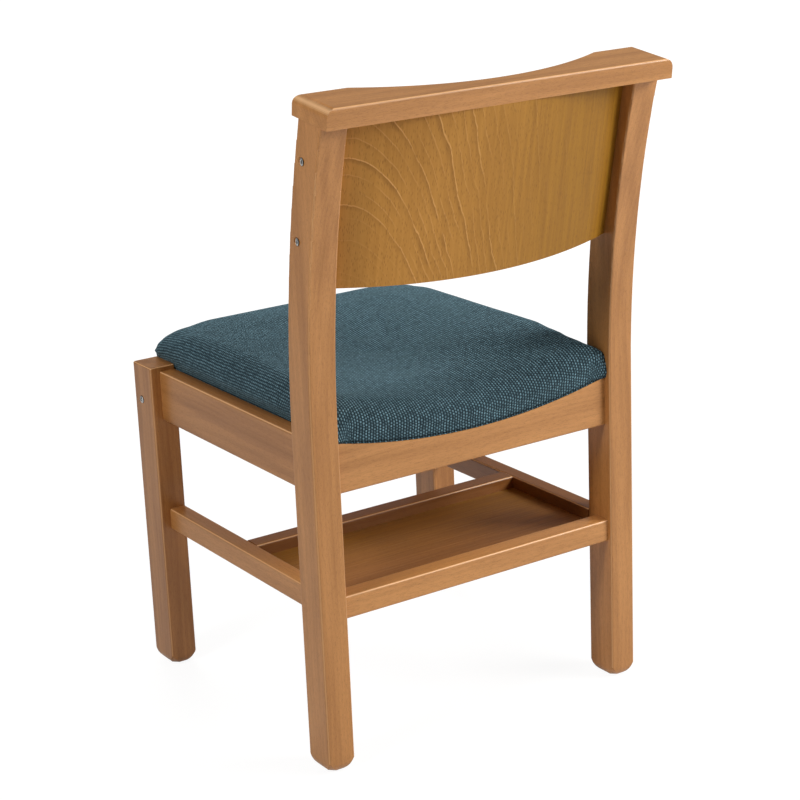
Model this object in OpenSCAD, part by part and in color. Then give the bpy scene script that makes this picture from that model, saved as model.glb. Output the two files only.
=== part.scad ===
// Wooden choir chair with an upholstered seat, a curved plywood back and a book rack.
// Millimetres. +Z is up, the chair faces -Y, and the sitter's left is +X.
// Lengths inside the modules run from the front faces of the front legs (y = 0);
// placed() then moves the whole chair so that its box is centred over the origin.

/* [Legs] */
// Overall width over the outer faces of the legs
legs_w = 490; // [440:1:560]
// Depth from the front legs' front faces to the rear faces of the posts
base_d = 465; // [420:1:540]
// Thickness of legs and posts, left to right
leg_t = 38; // [32:0.5:44]
// Depth of a front leg, front to back
leg_d = 51; // [44:0.5:56]
// Height of a front leg
leg_h = 436.5; // [430:0.5:446]
// Depth of a back post, front to back
post_d = 47.5; // [42:0.5:56]
// Height above the front legs' tops at which a post starts to bend back
bend_rise = 0; // [0:1:40]
// Radius of the bend, on the rear face of a post
bend_r = 1340; // [1100:10:1800]
// Rounding of the feet
foot_r = 14; // [8:0.5:16]
// Rounding of the foot's corners, seen along its diagonal
foot_corner_r = 24; // [14:0.5:26]
// Easing of the long edges
ease_r = 3; // [1:0.5:5]

/* [Seat frame] */
// Thickness of the four seat rails
rail_t = 24; // [18:0.5:30]
// Distance of the side rails' top edges below the tops of the front legs
rail_drop = 6.5; // [3:0.5:9]
// Height of a side rail, top to bottom
rail_h = 69; // [64:0.5:90]
// Depth of the seat below the tops of the side rails
seat_drop = 3.5; // [2:0.5:8]
// Setback of the side rails and stretchers from the legs' outer faces
side_setback = 14; // [8:0.5:18]
// Setback of the front rail from the front legs' front faces
front_setback = 8; // [4:0.5:12]
// Setback of the rear rail from the posts' rear faces
rear_setback = 10; // [5:0.5:16]
// Depth of the hollow cut into the rear rail's top edge
scoop_depth = 24.5; // [10:0.5:32]
// Leg of a triangular corner block
block_leg = 70; // [55:1:85]
// Height of a corner block
block_h = 40; // [30:1:44]
// Distance of the front corner blocks' tops below the seat
block_drop = 2; // [1:0.5:4]

/* [Book rack] */
// Thickness of the side stretchers
stretcher_t = 24; // [18:0.5:28]
// Height of every stretcher and of the rack's front bar, top to bottom
stretcher_h = 30; // [24:0.5:40]
// Height of the side stretchers' lower edges
side_stretcher_z = 203.5; // [150:0.5:260]
// How much lower the rear stretcher lies
rear_stretcher_drop = 4; // [0:0.5:6]
// Thickness of the rear stretcher
rear_stretcher_t = 27.5; // [20:0.5:30]
// Setback of the rear stretcher from the posts' rear faces
rear_stretcher_setback = 6; // [3:0.5:12]
// Distance of the rack bar's front face from the front legs' front faces
bar_y = 221; // [120:1:280]
// Thickness of the rack bar, front to back
bar_t = 27; // [20:0.5:32]
// Thickness of the plywood rack bottom
rack_t = 6; // [4:0.5:8]
// Depth of the rack bottom's surface below the side stretchers' tops
rack_depth = 17; // [12:0.5:20]
// Depth of the groove that holds the rack bottom
groove_d = 6; // [4:0.5:8]

/* [Back] */
// Length of the crest rail
crest_w = 497; // [480:1:580]
// Depth of the crest rail at its ends, front to back
crest_d = 74; // [66:0.5:90]
// Thickness of the crest rail
crest_t = 25; // [20:0.5:30]
// Depth that is left in the middle of the crest rail
crest_waist = 25.5; // [20:0.5:32]
// Length of the hollow in the crest rail's front edge
crest_hollow_w = 384; // [340:1:400]
// Height of the crest rail's lower rear edge above the tops of the front legs
crest_rise = 382.8; // [350:0.2:430]
// Overhang of the crest rail behind the tops of the posts
crest_overhang = 19.5; // [12:0.5:26]
// Forward rise of the crest rail in degrees
crest_tilt = 7.3; // [5:0.1:9]
// Rounding of the crest rail's ends
crest_end_r = 12; // [6:0.5:16]
// Rounding of the crest rail's front top edge
crest_front_r = 8; // [4:0.5:12]
// Thickness of the bent plywood back panel
panel_t = 16; // [12:0.5:20]
// Radius of the back panel's rear face
panel_r = 548; // [480:1:700]
// Height of the back panel's lower corners above the tops of the front legs
panel_rise = 182; // [130:1:200]
// Setback of the panel's lower corners from the posts' rear faces
panel_low_setback = 20; // [12:0.5:26]
// Setback of the panel's upper corners from the posts' rear faces
panel_top_setback = 21.5; // [12:0.5:26]
// Height of the lower panel screws above the panel's lower edge
panel_screw_low = 61; // [40:1:80]
// Height of the upper panel screws above the panel's lower edge
panel_screw_high = 159; // [130:1:170]
// Slant of the panel screws in degrees
panel_screw_slant = 12; // [8:1:14]

/* [Seat] */
// Thickness of the seat board
board_t = 12; // [9:0.5:15]
// Overhang of the cushion in front of the front legs
cushion_front = 10; // [4:0.5:20]
// Height of the cushion's crown above the seat
cushion_h = 53; // [44:0.5:64]
// Bulge of the cushion over the side rails
cushion_bulge = 9; // [4:0.5:12]
// Thickness of the fabric cover with its wadding
cover_t = 2; // [1.2:0.1:3]
// Thickness of the fabric hem under the board
hem_t = 1; // [0.6:0.1:1.6]
// Width of the hem
hem_w = 18; // [12:1:19]
// Rounding of the cushion's top edge
shoulder_r = 32; // [22:1:38]

/* [Fasteners] */
// Diameter of the wooden dowels
dowel_d = 8; // [6:0.5:10]
// Length of a dowel
dowel_l = 36; // [30:1:40]
// Diameter of the front rail bolts
bolt_d = 6; // [5:0.5:8]
// Length of a front rail bolt under its head
bolt_l = 72; // [64:1:80]
// Diameter of the bolt heads
bolt_head_d = 11; // [9:0.5:13]
// Diameter of a barrel nut
barrel_d = 12; // [10:0.5:14]
// Diameter of the wood screws in the back panel
panel_screw_d = 5; // [4:0.1:6]
// Length of a panel screw
panel_screw_l = 62; // [56:1:66]
// Diameter of the wood screws in the seat frame
wood_screw_d = 4; // [3:0.1:5]

/* [Hidden] */
$fn = 64;

// Shared clearances and overruns
gap = 0.3;
slack = 0.1;
over = 1;

// Frame of the chair
legs_x = legs_w / 2;
inner_x = legs_x - leg_t;
rail_x = legs_x - side_setback;
rail_inner_x = rail_x - rail_t;
span_x = min(inner_x, rail_inner_x);
post_front_y = base_d - post_d;
rail_top_z = leg_h - rail_drop;
rail_z = rail_top_z - rail_h;
seat_z = rail_top_z - seat_drop;
bend_z = leg_h + bend_rise;
front_rail_back_y = front_setback + rail_t;
rear_rail_back_y = base_d - rear_setback;
rear_rail_y = rear_rail_back_y - rail_t;
stretcher_inner_x = rail_x - stretcher_t;
rear_stretcher_z = side_stretcher_z - rear_stretcher_drop;
rear_stretcher_y = base_d - rear_stretcher_setback - rear_stretcher_t;
bar_back_y = bar_y + bar_t;
rack_top_z = side_stretcher_z + stretcher_h - rack_depth;
front_block_z = seat_z - block_drop - block_h;
rear_block_z = rail_z + 2 * block_drop;

// Back
crest_z = leg_h + crest_rise;
panel_z = leg_h + panel_rise;
function post_back(z) = base_d + (z > bend_z ? bend_r - sqrt(pow(bend_r, 2) - pow(z - bend_z, 2)) : 0);
crest_back_y = post_back(crest_z) + crest_overhang;
crest_top_y = crest_back_y + (crest_t - ease_r) * sin(crest_tilt)
    + ease_r * (1 - cos(crest_tilt));
mid_y = (crest_top_y - cushion_front) / 2;
bend_angle = asin((crest_z + crest_t - bend_z) / bend_r);
post_top_y = post_back(crest_z) - post_d / 2;
panel_y = post_back(panel_z) - panel_low_setback;
panel_top_y = post_back(crest_z) - panel_top_setback;
panel_lean = atan((panel_top_y - panel_y) / (crest_z - panel_z));
hollow_sag = crest_d - crest_waist;
hollow_r = (pow(crest_hollow_w / 2, 2) + pow(hollow_sag, 2)) / (2 * hollow_sag);
panel_centre_y = -sqrt(pow(panel_r, 2) - pow(inner_x, 2));
panel_h = crest_z + crest_t - panel_z;

// Seat: the hollow is an arc across the seat that fades out towards the front
scoop_r = (pow(inner_x, 2) + pow(scoop_depth, 2)) / (2 * scoop_depth);
scoop_start_y = front_rail_back_y + rail_t;
board_back_y = rear_rail_back_y - cover_t;
board_front_y = 0;
board_x = span_x - cover_t - gap;
cover_x = span_x - gap;
cover_front_y = board_front_y - cover_t;
cover_back_y = rear_rail_back_y;
seat_mid_y = (cover_front_y + cover_back_y) / 2;
neck_z = leg_h - seat_z + gap;
belly_h = 26;
belly_back = 3;
rear_fall = 17;
front_fall = 2;
fall_start_y = 290;
seat_dish = 22;
narrow_l = 60;
narrow_end_y = post_front_y - 2 * ease_r;
narrow_start_y = narrow_end_y - narrow_l;
cushion_corner_r = 24;
rim_corner_r = 5;

// Fasteners
side_dowel_in = 18;
side_dowel_z = [rail_z + side_dowel_in, rail_top_z - side_dowel_in];
cross_dowel_rise = [10, 34];
stretcher_dowel_rise = [9, 21];
bar_dowel_in = 12;
dowel_depth = dowel_l / 2;
crest_dowel_in = 14;
crest_dowel_step = 24;
bolt_drop = 50;
bolt_z = leg_h - bolt_drop;
bolt_head_h = 2.4;
barrel_l = 16;
bolt_past = 4;
barrel_x = legs_x - bolt_l + bolt_past + barrel_d / 2;
block_screw_share = 0.62;
block_screw_bite = 15;
seat_screw_d = 5;
seat_screw_bite = 8;
head_h = 2.2;
recess_w = 1.1;
recess_share = 0.55;
staple_w = 12;
staple_t = 0.7;
staple_pitch = 38;

wood = [0.66, 0.44, 0.28];
wood_light = [0.72, 0.50, 0.30];
wood_panel = [0.62, 0.43, 0.22];
wood_inside = [0.80, 0.68, 0.50];
teal = [0.20, 0.33, 0.37];
foam_colour = [0.88, 0.83, 0.62];
steel = [0.72, 0.72, 0.72];

// Moves the chair so that its box is centred over the origin
module placed() {
    translate([0, -mid_y, 0]) children();
}

// Mirrors its children to the right-hand side when side is -1
module on_side(side) {
    mirror([side < 0 ? 1 : 0, 0, 0]) children();
}

module both_sides() {
    for (side = [-1, 1]) on_side(side) children();
}

// Rectangle from its lower left corner, with rounded corners
module rounded_rect(w, h, r) {
    translate([r, 0]) square([w - 2 * r, h]);
    translate([0, r]) square([w, h - 2 * r]);
    for (x = [r, w - r], y = [r, h - r]) translate([x, y]) circle(r);
}

// Rectangle with only its two lower corners rounded
module foot_profile(w, h, r) {
    translate([r, 0]) square([w - 2 * r, h]);
    translate([0, r]) square([w, h - r]);
    for (x = [r, w - r]) translate([x, r]) circle(r);
}

// Bar with eased long edges, running up from the XY plane
module upright(w, d, h) {
    linear_extrude(h) rounded_rect(w, d, ease_r);
}

// Bar with eased long edges, running along +Y from the XZ plane
module rail_along_y(w, h, l) {
    translate([0, l, 0]) rotate([90, 0, 0]) linear_extrude(l) rounded_rect(w, h, ease_r);
}

// Bar with eased long edges, running along +X from the YZ plane
module rail_along_x(d, h, l) {
    rotate([90, 0, 90]) linear_extrude(l) rounded_rect(d, h, ease_r);
}

// Profile of a foot, run along the XY plane at an angle, centred on it
module foot_run(w, h, r, l, angle) {
    rotate([0, 0, angle]) translate([-w / 2, l / 2, 0]) rotate([90, 0, 0])
        linear_extrude(l) foot_profile(w, h, r);
}

// Keeps what stands on a foot with rounded lower edges and corners; it reaches past the top
module foot_mask(w, d, h) {
    span = (w + d) / sqrt(2);
    translate([w / 2, d / 2, 0]) intersection() {
        foot_run(w, h + over, foot_r, d, 0);
        foot_run(d, h + over, foot_r, w, 90);
        foot_run(span, h + over, foot_corner_r, span, 45);
        foot_run(span, h + over, foot_corner_r, span, 135);
    }
}

// Front leg and back post

module front_leg(side) {
    color(wood) placed() on_side(side) difference() {
        translate([inner_x, 0, 0]) intersection() {
            upright(leg_t, leg_d, leg_h);
            foot_mask(leg_t, leg_d, leg_h);
        }
        side_rail_dowel_set(slack);
        side_stretcher_dowel_set(slack);
        cross_rail_dowel_set(slack);
        bolt_shank(slack);
    }
}

// The bent part of a post: its section turned about an axis behind the chair
module post_bend() {
    translate([0, base_d + bend_r, bend_z]) rotate([90, 0, -90])
        rotate_extrude(angle = bend_angle, $fn = 720)
            translate([bend_r, -legs_x]) rounded_rect(post_d, leg_t, ease_r);
}

// Everything above the underside of the crest rail
module above_crest_underside() {
    crest_frame() translate([-legs_w, -legs_w, 0]) cube([2 * legs_w, 2 * legs_w, legs_w]);
}

module back_post(side) {
    color(wood) placed() on_side(side) difference() {
        union() {
            translate([inner_x, post_front_y, 0]) intersection() {
                upright(leg_t, post_d, bend_z);
                foot_mask(leg_t, post_d, bend_z);
            }
            post_bend();
        }
        above_crest_underside();
        side_rail_dowel_set(slack);
        side_stretcher_dowel_set(slack);
        cross_rail_dowel_set(slack);
        cross_stretcher_dowel_set(slack);
        crest_dowel_set(slack);
        panel_screw_set(slack);
    }
}

// Seat frame

module side_rail(side) {
    color(wood) placed() on_side(side) difference() {
        translate([rail_inner_x, leg_d, rail_z])
            rail_along_y(rail_t, rail_h, post_front_y - leg_d);
        side_rail_dowel_set(slack);
        block_screw_set(slack);
    }
}

module front_rail() {
    color(wood_light) placed() difference() {
        translate([-inner_x, front_setback, rail_z])
            rail_along_x(rail_t, seat_z - rail_z, 2 * inner_x);
        both_sides() {
            cross_rail_dowel_set(slack);
            bolt_shank(slack);
            barrel_shape(slack);
            block_screw_set(slack);
        }
    }
}

module rear_rail() {
    color(wood_light) placed() difference() {
        translate([-inner_x, rear_rail_y, rail_z])
            rail_along_x(rail_t, seat_z - rail_z, 2 * inner_x);
        translate([0, rear_rail_back_y + over, seat_z + scoop_r - scoop_depth]) rotate([90, 0, 0])
            cylinder(r = scoop_r, h = rail_t + 2 * over, $fn = 360);
        both_sides() {
            cross_rail_dowel_set(slack);
            block_screw_set(slack);
        }
    }
}

// Three-cornered block in a corner of the seat frame; end is -1 at the front and 1 at the rear
module corner_block(side, end) {
    color(wood_inside) placed() on_side(side) difference() {
        block_corner(end) linear_extrude(block_h)
            polygon([[0, 0], [-block_leg, 0], [0, block_leg]]);
        block_screw_set(slack);
        seat_screw_set(slack);
    }
}

// Frame of a corner block: its corner, with +Y away from the front or rear rail
module block_corner(end) {
    y = end < 0 ? front_rail_back_y : rear_rail_y;
    translate([span_x, y, end < 0 ? front_block_z : rear_block_z])
        mirror([0, end < 0 ? 0 : 1, 0]) children();
}

// Book rack

module side_stretcher(side) {
    color(wood) placed() on_side(side) difference() {
        translate([stretcher_inner_x, leg_d, side_stretcher_z])
            rail_along_y(stretcher_t, stretcher_h, post_front_y - leg_d);
        rack_board(slack);
        side_stretcher_dowel_set(slack);
        bar_dowel_set(slack);
    }
}

module rear_stretcher() {
    color(wood_light) placed() difference() {
        translate([-inner_x, rear_stretcher_y, rear_stretcher_z])
            rail_along_x(rear_stretcher_t, stretcher_h, 2 * inner_x);
        rack_board(slack);
        both_sides() cross_stretcher_dowel_set(slack);
    }
}

module rack_bar() {
    color(wood) placed() difference() {
        translate([-stretcher_inner_x, bar_y, side_stretcher_z])
            rail_along_x(bar_t, stretcher_h, 2 * stretcher_inner_x);
        rack_board(slack);
        both_sides() bar_dowel_set(slack);
    }
}

// The rack bottom, let into grooves all round; wider by the given clearance when it cuts them
module rack_board(clear = 0) {
    wide_x = stretcher_inner_x + groove_d - slack + clear;
    narrow_x = inner_x - slack;
    front_y = bar_back_y - groove_d + slack - clear;
    rear_y = rear_stretcher_y + groove_d - slack + clear;
    translate([0, 0, rack_top_z - rack_t - clear / 2]) linear_extrude(rack_t + clear) {
        translate([-wide_x, front_y]) square([2 * wide_x, post_front_y - slack + clear - front_y]);
        translate([-narrow_x, front_y]) square([2 * narrow_x, rear_y - front_y]);
    }
}

module rack_bottom() {
    color(wood_panel) placed() rack_board();
}

// Back

// Frame of the crest rail: origin on its lower rear edge, +Y to the rear
module crest_frame() {
    translate([0, crest_back_y, crest_z]) rotate([-crest_tilt, 0, 0]) children();
}

module crest_rail() {
    color(wood) placed() difference() {
        crest_frame() difference() {
            intersection() {
                // outline seen from the rear
                rotate([90, 0, 0]) linear_extrude(crest_d) crest_end_profile();
                // outline seen from the side
                translate([-crest_w / 2, 0, 0]) rotate([90, 0, 90])
                    linear_extrude(crest_w) crest_side_profile();
            }
            // hollow in the front edge
            translate([0, -crest_waist - hollow_r, -over])
                cylinder(r = hollow_r, h = crest_t + 2 * over, $fn = 360);
        }
        both_sides() crest_dowel_set(slack);
    }
}

module crest_end_profile() {
    half = crest_w / 2;
    translate([-half, 0]) square([crest_w, crest_t - crest_end_r]);
    translate([crest_end_r - half, 0]) square([crest_w - 2 * crest_end_r, crest_t]);
    for (x = [-1, 1]) translate([x * (half - crest_end_r), crest_t - crest_end_r]) circle(crest_end_r);
}

module crest_side_profile() {
    low = crest_t - crest_front_r;
    translate([-crest_d, 0]) square([crest_d - ease_r, low]);
    translate([crest_front_r - crest_d, 0]) square([crest_d - crest_front_r - ease_r, crest_t]);
    translate([-2 * ease_r, 0]) square([2 * ease_r, crest_t - ease_r]);
    translate([crest_front_r - crest_d, low]) circle(crest_front_r);
    translate([-ease_r, crest_t - ease_r]) circle(ease_r);
}

// Frame of the back panel: origin midway between its lower rear corners, +Z up its lean
module panel_frame() {
    translate([0, panel_y, panel_z]) rotate([-panel_lean, 0, 0]) children();
}

module back_panel() {
    color(wood_panel) placed() difference() {
        panel_frame() linear_extrude(panel_h) intersection() {
            translate([0, panel_centre_y]) difference() {
                circle(panel_r, $fn = 360);
                circle(panel_r - panel_t, $fn = 360);
            }
            translate([-inner_x, -panel_r]) square([2 * inner_x, 2 * panel_r]);
            translate([-inner_x, -2 * panel_t]) square([2 * inner_x, panel_r]);
        }
        above_crest_underside();
        both_sides() panel_screw_set(slack);
    }
}

// Seat surfaces

function smooth(t) = let(c = max(0, min(1, t))) c * c * (3 - 2 * c);

// Height of the scoop's arc at x over the arc's centre
function arc_rise(x) = sqrt(pow(scoop_r, 2) - pow(x, 2));

// Height of the surface that the seat rests on
function seat_low(x, y) = seat_z
    - smooth((y - scoop_start_y) / (rear_rail_y - scoop_start_y))
    * (arc_rise(min(abs(x), inner_x)) - arc_rise(inner_x));

// Height of the cushion's crown
function crown(x, y) = seat_z + cushion_h
    - rear_fall * pow(max(0, (y - fall_start_y) / (cover_back_y - fall_start_y)), 2)
    - front_fall * pow(max(0, 1 - y / fall_start_y), 2)
    - seat_dish * smooth((y - leg_d) / (fall_start_y - leg_d))
    * pow(cos(90 * min(1, abs(x) / inner_x)), 2);

// Half width of the cushion's belly, which narrows to pass between the posts
function belly_x(y) = cover_x + cushion_bulge * (1 - smooth((y - narrow_start_y) / narrow_l));

// Closed outline of a seat layer: a rounded rectangle, drawn in by inset.
// mix is 0 for the straight rim and 1 for the bulging belly.
SIDE_STEPS = 8;
END_STEPS = 10;
CORNER_STEPS = 3;
function corner_points(cx, cy, r, from) = [for (i = [0 : CORNER_STEPS])
    [cx + r * cos(from + 90 * i / CORNER_STEPS), cy + r * sin(from + 90 * i / CORNER_STEPS)]];
function between_points(a, b, steps) = [for (i = [1 : steps - 1]) a + (b - a) * i / steps];
function layer_outline(hw, y0, y1, r) = let(
    rear_left = corner_points(hw - r, y1 - r, r, 0),
    rear_right = corner_points(r - hw, y1 - r, r, 90),
    front_right = corner_points(r - hw, y0 + r, r, 180),
    front_left = corner_points(hw - r, y0 + r, r, 270))
    concat(rear_left, between_points(rear_left[CORNER_STEPS], rear_right[0], END_STEPS),
        rear_right, between_points(rear_right[CORNER_STEPS], front_right[0], SIDE_STEPS),
        front_right, between_points(front_right[CORNER_STEPS], front_left[0], END_STEPS),
        front_left, between_points(front_left[CORNER_STEPS], rear_left[0], SIDE_STEPS));

// Outline of the cushion at a share of the way from rim to belly, drawn in by inset
function cushion_outline(mix, inset) = let(
    grow = mix * cushion_bulge,
    r = max(rim_corner_r, rim_corner_r + mix * (cushion_corner_r - rim_corner_r) - inset / 2),
    raw = layer_outline(cover_x + grow - inset, cover_front_y - mix * (cushion_front - cover_t) + inset,
        cover_back_y + mix * belly_back - inset, r))
    [for (p = raw) let(limit = cover_x + mix * (belly_x(p[1]) - cover_x) - inset)
        [max(-limit, min(limit, p[0])), p[1]]];

// Rings of the cushion, each one drawn in by skin on every side
function side_ring(mix, rise, skin) = [for (p = cushion_outline(mix, skin))
    [p[0], p[1], seat_low(p[0], p[1]) + rise]];
function rim_ring(rise, skin) = side_ring(0, rise, skin);
function shoulder_ring(angle, skin) = [for (p = cushion_outline(1, shoulder_r * (1 - cos(angle)) + skin))
    let(low = seat_low(p[0], p[1]) + belly_h)
        [p[0], p[1], low + (crown(p[0], p[1]) - skin - low) * sin(angle)]];
function top_ring(share, skin) = [for (p = cushion_outline(1, shoulder_r + skin))
    let(x = p[0] * share, y = seat_mid_y + (p[1] - seat_mid_y) * share) [x, y, crown(x, y) - skin]];

// Shoulder angles, and how far out over the crown and the bed each ring lies
SHOULDER_ANGLES = [28, 52, 74, 90];
RING_SHARES = [0.72, 0.42, 0.16];
LOW_BELLY_SHARE = 0.7;

// Everything above the rim, from the neck between the legs to the crown
function upper_rings(skin) = concat(
    [side_ring(LOW_BELLY_SHARE, (neck_z + belly_h) / 2, skin), side_ring(1, belly_h, skin)],
    [for (angle = SHOULDER_ANGLES) shoulder_ring(angle, skin)],
    [for (share = RING_SHARES) top_ring(share, skin)]);

// Solid whose skin runs through rings of equally many points, closed by a fan at each end
module ring_solid(rings) {
    n = len(rings[0]);
    m = len(rings);
    function middle(ring) = [for (k = [0 : 2]) [for (p = ring) 1] * [for (p = ring) p[k]] / n];
    points = concat([for (ring = rings) each ring], [middle(rings[0]), middle(rings[m - 1])]);
    walls = [for (j = [0 : m - 2], i = [0 : n - 1]) let(a = j * n + i, b = j * n + (i + 1) % n)
        each [[a, a + n, b], [b, a + n, b + n]]];
    low_cap = [for (i = [0 : n - 1]) [n * m, i, (i + 1) % n]];
    high_cap = [for (i = [0 : n - 1]) [n * m + 1, (m - 1) * n + (i + 1) % n, (m - 1) * n + i]];
    polyhedron(points, concat(walls, low_cap, high_cap));
}

// Ring of a layer that lies on the seat, at a share of the way out to its outline
function bed_ring(outline, share, rise) = [for (p = outline)
    let(x = p[0] * share, y = seat_mid_y + (p[1] - seat_mid_y) * share) [x, y, seat_low(x, y) + rise]];
function reversed(list) = [for (i = [len(list) - 1 : -1 : 0]) list[i]];

module seat_board() {
    rise = hem_t + gap;
    outline = layer_outline(board_x, board_front_y, board_back_y, rim_corner_r);
    shares = concat(reversed(RING_SHARES), [1]);
    color(wood_inside) placed() difference() {
        ring_solid(concat([for (share = shares) bed_ring(outline, share, rise)],
            [for (share = reversed(shares)) bed_ring(outline, share, rise + board_t)]));
        both_sides() seat_screw_set(slack);
    }
}

module seat_foam() {
    rise = hem_t + board_t + 2 * gap;
    skin = cover_t + gap;
    outline = cushion_outline(0, skin);
    color(foam_colour) placed() ring_solid(concat(
        [for (share = reversed(RING_SHARES)) bed_ring(outline, share, rise)],
        [rim_ring(rise, skin)], upper_rings(skin)));
}

module seat_cover() {
    color(teal) placed() difference() {
        ring_solid(concat([rim_ring(hem_t, 0), rim_ring(neck_z, 0)], upper_rings(0)));
        ring_solid(concat([rim_ring(-scoop_depth, cover_t), rim_ring(neck_z, cover_t)],
            upper_rings(cover_t)));
    }
}

// Hem of the cover, turned in under the board
module seat_hem() {
    outer = cushion_outline(0, 0);
    inner = cushion_outline(0, hem_w);
    rings = [bed_ring(outer, 1, 0), bed_ring(outer, 1, hem_t),
        bed_ring(inner, 1, hem_t), bed_ring(inner, 1, 0)];
    n = len(outer);
    color(teal) placed() polyhedron([for (ring = rings) each ring],
        [for (j = [0 : 3], i = [0 : n - 1]) let(a = j * n + i, b = j * n + (i + 1) % n,
            c = ((j + 1) % 4) * n + i, d = ((j + 1) % 4) * n + (i + 1) % n) each [[a, c, b], [b, c, d]]]);
}

// Dowels. Each set is drawn for the left-hand side, wider and longer by clear when it is a hole.

module dowel(clear) {
    rotate([-90, 0, 0]) translate([0, 0, -dowel_depth - clear])
        cylinder(d = dowel_d + clear, h = dowel_l + 2 * clear, $fn = 32);
}

module side_rail_dowel_set(clear = 0) {
    for (y = [leg_d, post_front_y], z = side_dowel_z)
        translate([rail_x - rail_t / 2, y, z]) dowel(clear);
}

module cross_rail_dowel_set(clear = 0) {
    for (rise = cross_dowel_rise)
        translate([inner_x, rear_rail_y + rail_t / 2, rail_z + rise]) rotate([0, 0, 90]) dowel(clear);
    translate([inner_x, front_setback + rail_t / 2, seat_z - dowel_d - ease_r])
        rotate([0, 0, 90]) dowel(clear);
}

module side_stretcher_dowel_set(clear = 0) {
    for (y = [leg_d, post_front_y], rise = stretcher_dowel_rise)
        translate([rail_x - stretcher_t / 2, y, side_stretcher_z + rise]) dowel(clear);
}

module cross_stretcher_dowel_set(clear = 0) {
    for (rise = stretcher_dowel_rise)
        translate([inner_x, rear_stretcher_y + rear_stretcher_t / 2, rear_stretcher_z + rise])
            rotate([0, 0, 90]) dowel(clear);
}

module bar_dowel_set(clear = 0) {
    for (rise = stretcher_dowel_rise)
        translate([stretcher_inner_x - dowel_depth + bar_dowel_in, bar_y + bar_t / 2, side_stretcher_z + rise])
            rotate([0, 0, 90]) dowel(clear);
}

module crest_dowel_set(clear = 0) {
    crest_frame() for (step = [-1, 1])
        translate([legs_x - leg_t / 2, post_top_y - crest_back_y + step * crest_dowel_step / 2,
            crest_dowel_in - dowel_l]) cylinder(d = dowel_d + clear, h = dowel_l + clear, $fn = 32);
}

module side_rail_dowels() {
    color(wood_inside) placed() both_sides() side_rail_dowel_set();
}

module cross_rail_dowels() {
    color(wood_inside) placed() both_sides() cross_rail_dowel_set();
}

module side_stretcher_dowels() {
    color(wood_inside) placed() both_sides() side_stretcher_dowel_set();
}

module cross_stretcher_dowels() {
    color(wood_inside) placed() both_sides() {
        cross_stretcher_dowel_set();
        bar_dowel_set();
    }
}
module crest_dowels() {
    color(wood_inside) placed() both_sides() crest_dowel_set();
}

// Screws and bolts

// Cross recess cut into a head whose top is at z = 0
module cross_recess(head_d) {
    w = head_d * recess_share;
    for (a = [0, 90]) rotate([0, 0, a]) translate([-w / 2, -recess_w / 2, -head_h / 2])
        cube([w, recess_w, head_h]);
}

// Countersunk wood screw: head at z = 0, shank down -Z
module wood_screw(d, l, clear, recess = true) {
    head_d = 2 * d + clear;
    difference() {
        union() {
            translate([0, 0, -head_h]) cylinder(d1 = d + clear, d2 = head_d, h = head_h);
            translate([0, 0, -l - clear]) cylinder(d = d + clear, h = l - head_h + clear + slack / 2);
            if (clear > 0) cylinder(d = head_d, h = head_h);
        }
        if (recess && clear == 0) cross_recess(head_d);
    }
}

// Screws through a post into the end of the back panel, slanted in the panel's plane
module panel_screw_set(clear = 0) {
    mid_r = panel_r - panel_t / 2;
    bite = (panel_screw_l - leg_t) / 2;
    aim_x = inner_x - bite;
    aim_y = panel_centre_y + sqrt(pow(mid_r, 2) - pow(aim_x, 2));
    head_x = legs_x;
    head_y = aim_y - (head_x - aim_x) * tan(panel_screw_slant);
    panel_frame() for (z = [panel_screw_low, panel_screw_high])
        translate([head_x, head_y, z]) rotate([0, 0, -panel_screw_slant]) rotate([0, 90, 0])
            wood_screw(panel_screw_d, panel_screw_l, clear);
}

// Shank and head of a front rail bolt; its head bears on the leg's outer face
module bolt_shank(clear = 0) {
    translate([legs_x, front_setback + rail_t / 2, bolt_z]) rotate([0, 90, 0])
        translate([0, 0, -bolt_l - clear]) cylinder(d = bolt_d + clear, h = bolt_l + clear + over);
}

module bolt_shape() {
    translate([legs_x, front_setback + rail_t / 2, bolt_z]) rotate([0, 90, 0]) {
        translate([0, 0, -bolt_l]) cylinder(d = bolt_d, h = bolt_l);
        difference() {
            cylinder(d1 = bolt_head_d, d2 = bolt_head_d * (1 - recess_share / 2), h = bolt_head_h);
            translate([0, 0, bolt_head_h]) cross_recess(bolt_head_d);
        }
    }
}

// Barrel nut, up the rail from its underside
module barrel_shape(clear = 0) {
    translate([barrel_x, front_setback + rail_t / 2, bolt_z - barrel_l / 2 - clear])
        cylinder(d = barrel_d + clear, h = barrel_l + clear);
    if (clear > 0) translate([barrel_x, front_setback + rail_t / 2, rail_z - over])
        cylinder(d = barrel_d + clear, h = bolt_z - rail_z);
}

// Two screws through each corner block, one into each rail
module block_screw_set(clear = 0) {
    at = block_leg * block_screw_share;
    length = block_leg - at + block_screw_bite;
    for (end = [-1, 1]) block_corner(end) translate([0, 0, block_h / 2]) {
        translate([-at, block_leg - at, wood_screw_d]) rotate([-90, 0, 0])
            wood_screw(wood_screw_d, length, clear, false);
        translate([at - block_leg, at, -wood_screw_d]) rotate([0, -90, 0])
            wood_screw(wood_screw_d, length, clear, false);
    }
}

// Screws up through the corner blocks into the seat board
module seat_screw_set(clear = 0) {
    at = block_leg / 3;
    for (end = [-1, 1]) {
        x = span_x - at;
        y = end < 0 ? front_rail_back_y + at : rear_rail_y - at;
        z = end < 0 ? front_block_z : rear_block_z;
        translate([x, y, z]) rotate([180, 0, 0])
            wood_screw(seat_screw_d, seat_low(x, y) + hem_t + seat_screw_bite - z, clear, false);
    }
}

module panel_screws() {
    color(steel) placed() both_sides() panel_screw_set();
}

module rail_bolts() {
    color(steel) placed() both_sides() bolt_shape();
}

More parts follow.
